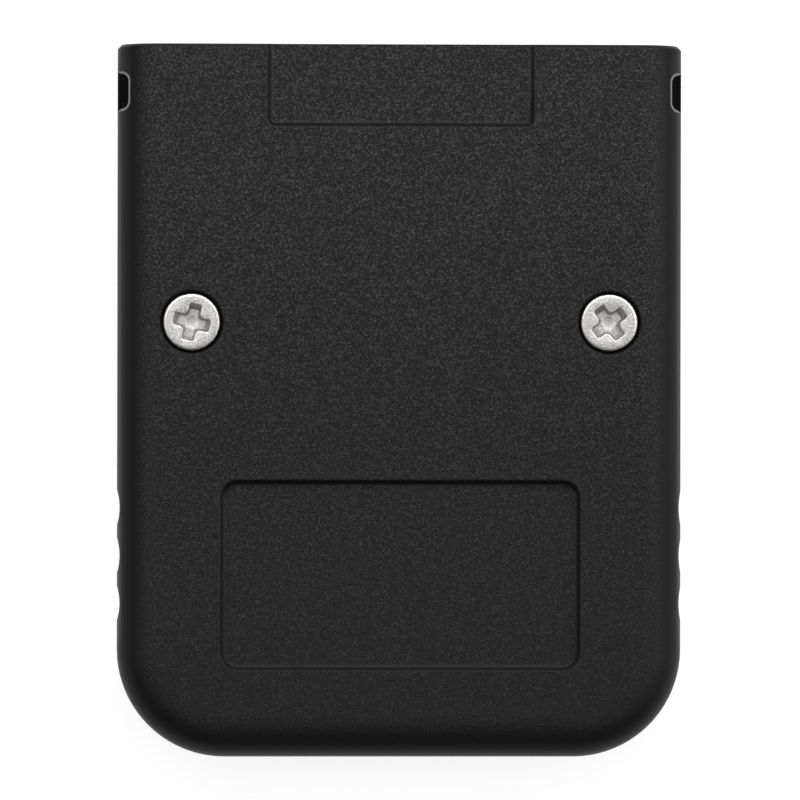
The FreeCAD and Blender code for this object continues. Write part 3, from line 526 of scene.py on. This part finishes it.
def plated(name, shades, gloss):
    tumble_size, tumble_depth = 0.16 * MM, 0.035 * MM
    plate, nodes, links, shader = new_material(name, metallic=1.0)
    tumbled = add_noise(nodes, links, tumble_size, 3.0, 0.65)
    brightness = add_range(nodes, links, tumbled, noise_span, (0, 1))
    links.new(add_colours(nodes, links, brightness, *shades), shader.inputs["Base Color"])
    links.new(add_range(nodes, links, tumbled, noise_span, gloss), shader.inputs["Roughness"])
    add_bump(nodes, links, shader, tumbled, tumble_depth)
    return plate


plate_shades, plate_gloss = ((0.50, 0.49, 0.48), (0.80, 0.79, 0.77)), (0.28, 0.46)
# The recess walls get a darker plate: painted shade inside the cross recess.
painted_recess_shade, recess_gloss = ((0.28, 0.272, 0.26), (0.62, 0.605, 0.585)), (0.4, 0.55)
wall_limit = 0.8
screw.data.materials.clear()
screw.data.materials.append(plated("nickel_plate", plate_shades, plate_gloss))
screw.data.materials.append(plated("painted_shade_recess", painted_recess_shade, recess_gloss))
# Upright walls inside the cross recess take the painted shade.
for face in screw.data.polygons:
    under_face = head_seat < face.center.z < head_top - face_drop - slack
    in_recess = under_face and face.center.to_2d().length < drive_span / 2
    if in_recess and abs(face.normal.z) < wall_limit:
        face.material_index = 1

screw_x = screw_high.x - seat_radius
screw_y = (screw_low.y + screw_high.y) / 2
for name, x, turn in (("left_screw", -screw_x, left_turn), ("right_screw", screw_x, right_turn)):
    driven = bpy.data.objects.new(name, screw.data.copy())
    bpy.context.scene.collection.objects.link(driven)
    driven.location = (x, screw_y, 0)
    driven.rotation_euler.z = math.radians(turn)
    select_only(driven)
    bpy.ops.object.transform_apply(location=True, rotation=True, scale=True)
    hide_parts("case_screws")
    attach(driven, "root")
select_only(screw)
bpy.ops.object.delete()

# Floor: a plain pale sheet under the adapter, which shows white to the camera and in what the adapter
# mirrors, and keeps a soft shadow.
sheet_size, sheet_gap, sheet_glow = 2.0, 0.02 * MM, 0.85
pale_grey, sheet_roughness = (0.25, 0.25, 0.25), 0.9
bpy.ops.object.select_all(action="DESELECT")
bpy.ops.mesh.primitive_plane_add(size=sheet_size, location=(0, 0, -sheet_gap))
floor = bpy.context.object
floor.name = "floor"
white_sheet, nodes, links, shader = new_material("white_sheet", reflectance=0.0)
shader.inputs["Base Color"].default_value = (*pale_grey, 1)
shader.inputs["Roughness"].default_value = sheet_roughness
paths = nodes.new("ShaderNodeLightPath")
mirrored = add_math(nodes, links, "MAXIMUM", paths.outputs["Is Glossy Ray"],
                    paths.outputs["Is Transmission Ray"])
seen = add_math(nodes, links, "MAXIMUM", paths.outputs["Is Camera Ray"], mirrored)
glow = nodes.new("ShaderNodeEmission")
links.new(add_math(nodes, links, "MULTIPLY", seen, sheet_glow), glow.inputs["Strength"])
total = nodes.new("ShaderNodeAddShader")
links.new(shader.outputs["BSDF"], total.inputs[0])
links.new(glow.outputs["Emission"], total.inputs[1])
links.new(total.outputs["Shader"], nodes["Material Output"].inputs["Surface"])
floor.data.materials.append(white_sheet)

# Light: a soft overall light, a broad ceiling with a brighter half towards the connector end, a softbox
# beyond that end, and a softbox with a low sheet outside it on each side. Each lamp spans angles from
# straight above: across, to the right, and along, to the connector end.
overall = 0.12
lamp_distance, ceiling_distance = 350 * MM, 700 * MM
ceiling_across, side_along = (-52, 76), (-15, 40)
world = bpy.data.worlds.new("studio")
bpy.context.scene.world = world
world.use_nodes = True
world.node_tree.nodes["Background"].inputs["Color"].default_value = (1, 1, 1, 1)
world.node_tree.nodes["Background"].inputs["Strength"].default_value = overall


def softbox(name, across, along, distance, brightness):
    sizes = [2 * distance * math.tan(math.radians(span[1] - span[0]) / 2) for span in (across, along)]
    slope_x, slope_y = (math.tan(math.radians(sum(span) / 2)) for span in (across, along))
    outwards = Vector((slope_x, slope_y, 1)).normalized()
    side = Vector((outwards.z, 0, -outwards.x)).normalized()
    data = bpy.data.lights.new(name, "AREA")
    data.shape = "RECTANGLE"
    data.size, data.size_y = sizes
    data.energy = brightness * math.pi * sizes[0] * sizes[1]
    lamp = bpy.data.objects.new(name, data)
    bpy.context.scene.collection.objects.link(lamp)
    lamp.location = outwards * distance
    lamp.rotation_mode = "QUATERNION"
    lamp.rotation_quaternion = Matrix((side, outwards.cross(side), outwards)).transposed().to_quaternion()


softbox("ceiling", ceiling_across, (-36, 45), ceiling_distance, 0.24)
softbox("near_ceiling", ceiling_across, (4, 44), lamp_distance, 0.8)
softbox("far_softbox", (-40, 40), (44, 66), lamp_distance, 5.0)
softbox("left_softbox", (-50, -22), side_along, lamp_distance, 0.9)
softbox("right_softbox", (34, 71), side_along, lamp_distance, 1.4)
softbox("left_sheet", (-88, -52), side_along, lamp_distance, 0.35)
softbox("right_sheet", (72, 88), side_along, lamp_distance, 1.5)

# Camera: half a metre above the rear face and slightly to the left, with the connector end at the top of the
# picture and the case at the scale of the photograph.
pixels_per_mm, frame_pixels = 13.668, 800
camera_distance = 500 * MM
lean, roll = math.radians(2.0), math.radians(0.1)
rear_face = cad_box[1].z
aim = Vector((-0.05 * MM, 0.066 * MM, rear_face))
data = bpy.data.cameras.new("camera")
data.sensor_width = 36.0
data.lens = data.sensor_width * camera_distance / (frame_pixels / pixels_per_mm * MM)
data.clip_start, data.clip_end = 0.01, 10
camera = bpy.data.objects.new("camera", data)
bpy.context.scene.collection.objects.link(camera)
camera.location = aim + camera_distance * Vector((-math.sin(lean), 0, math.cos(lean)))
camera.rotation_euler = (0, -lean, roll)
bpy.context.scene.camera = camera
bpy.context.scene.view_settings.view_transform = "Standard"
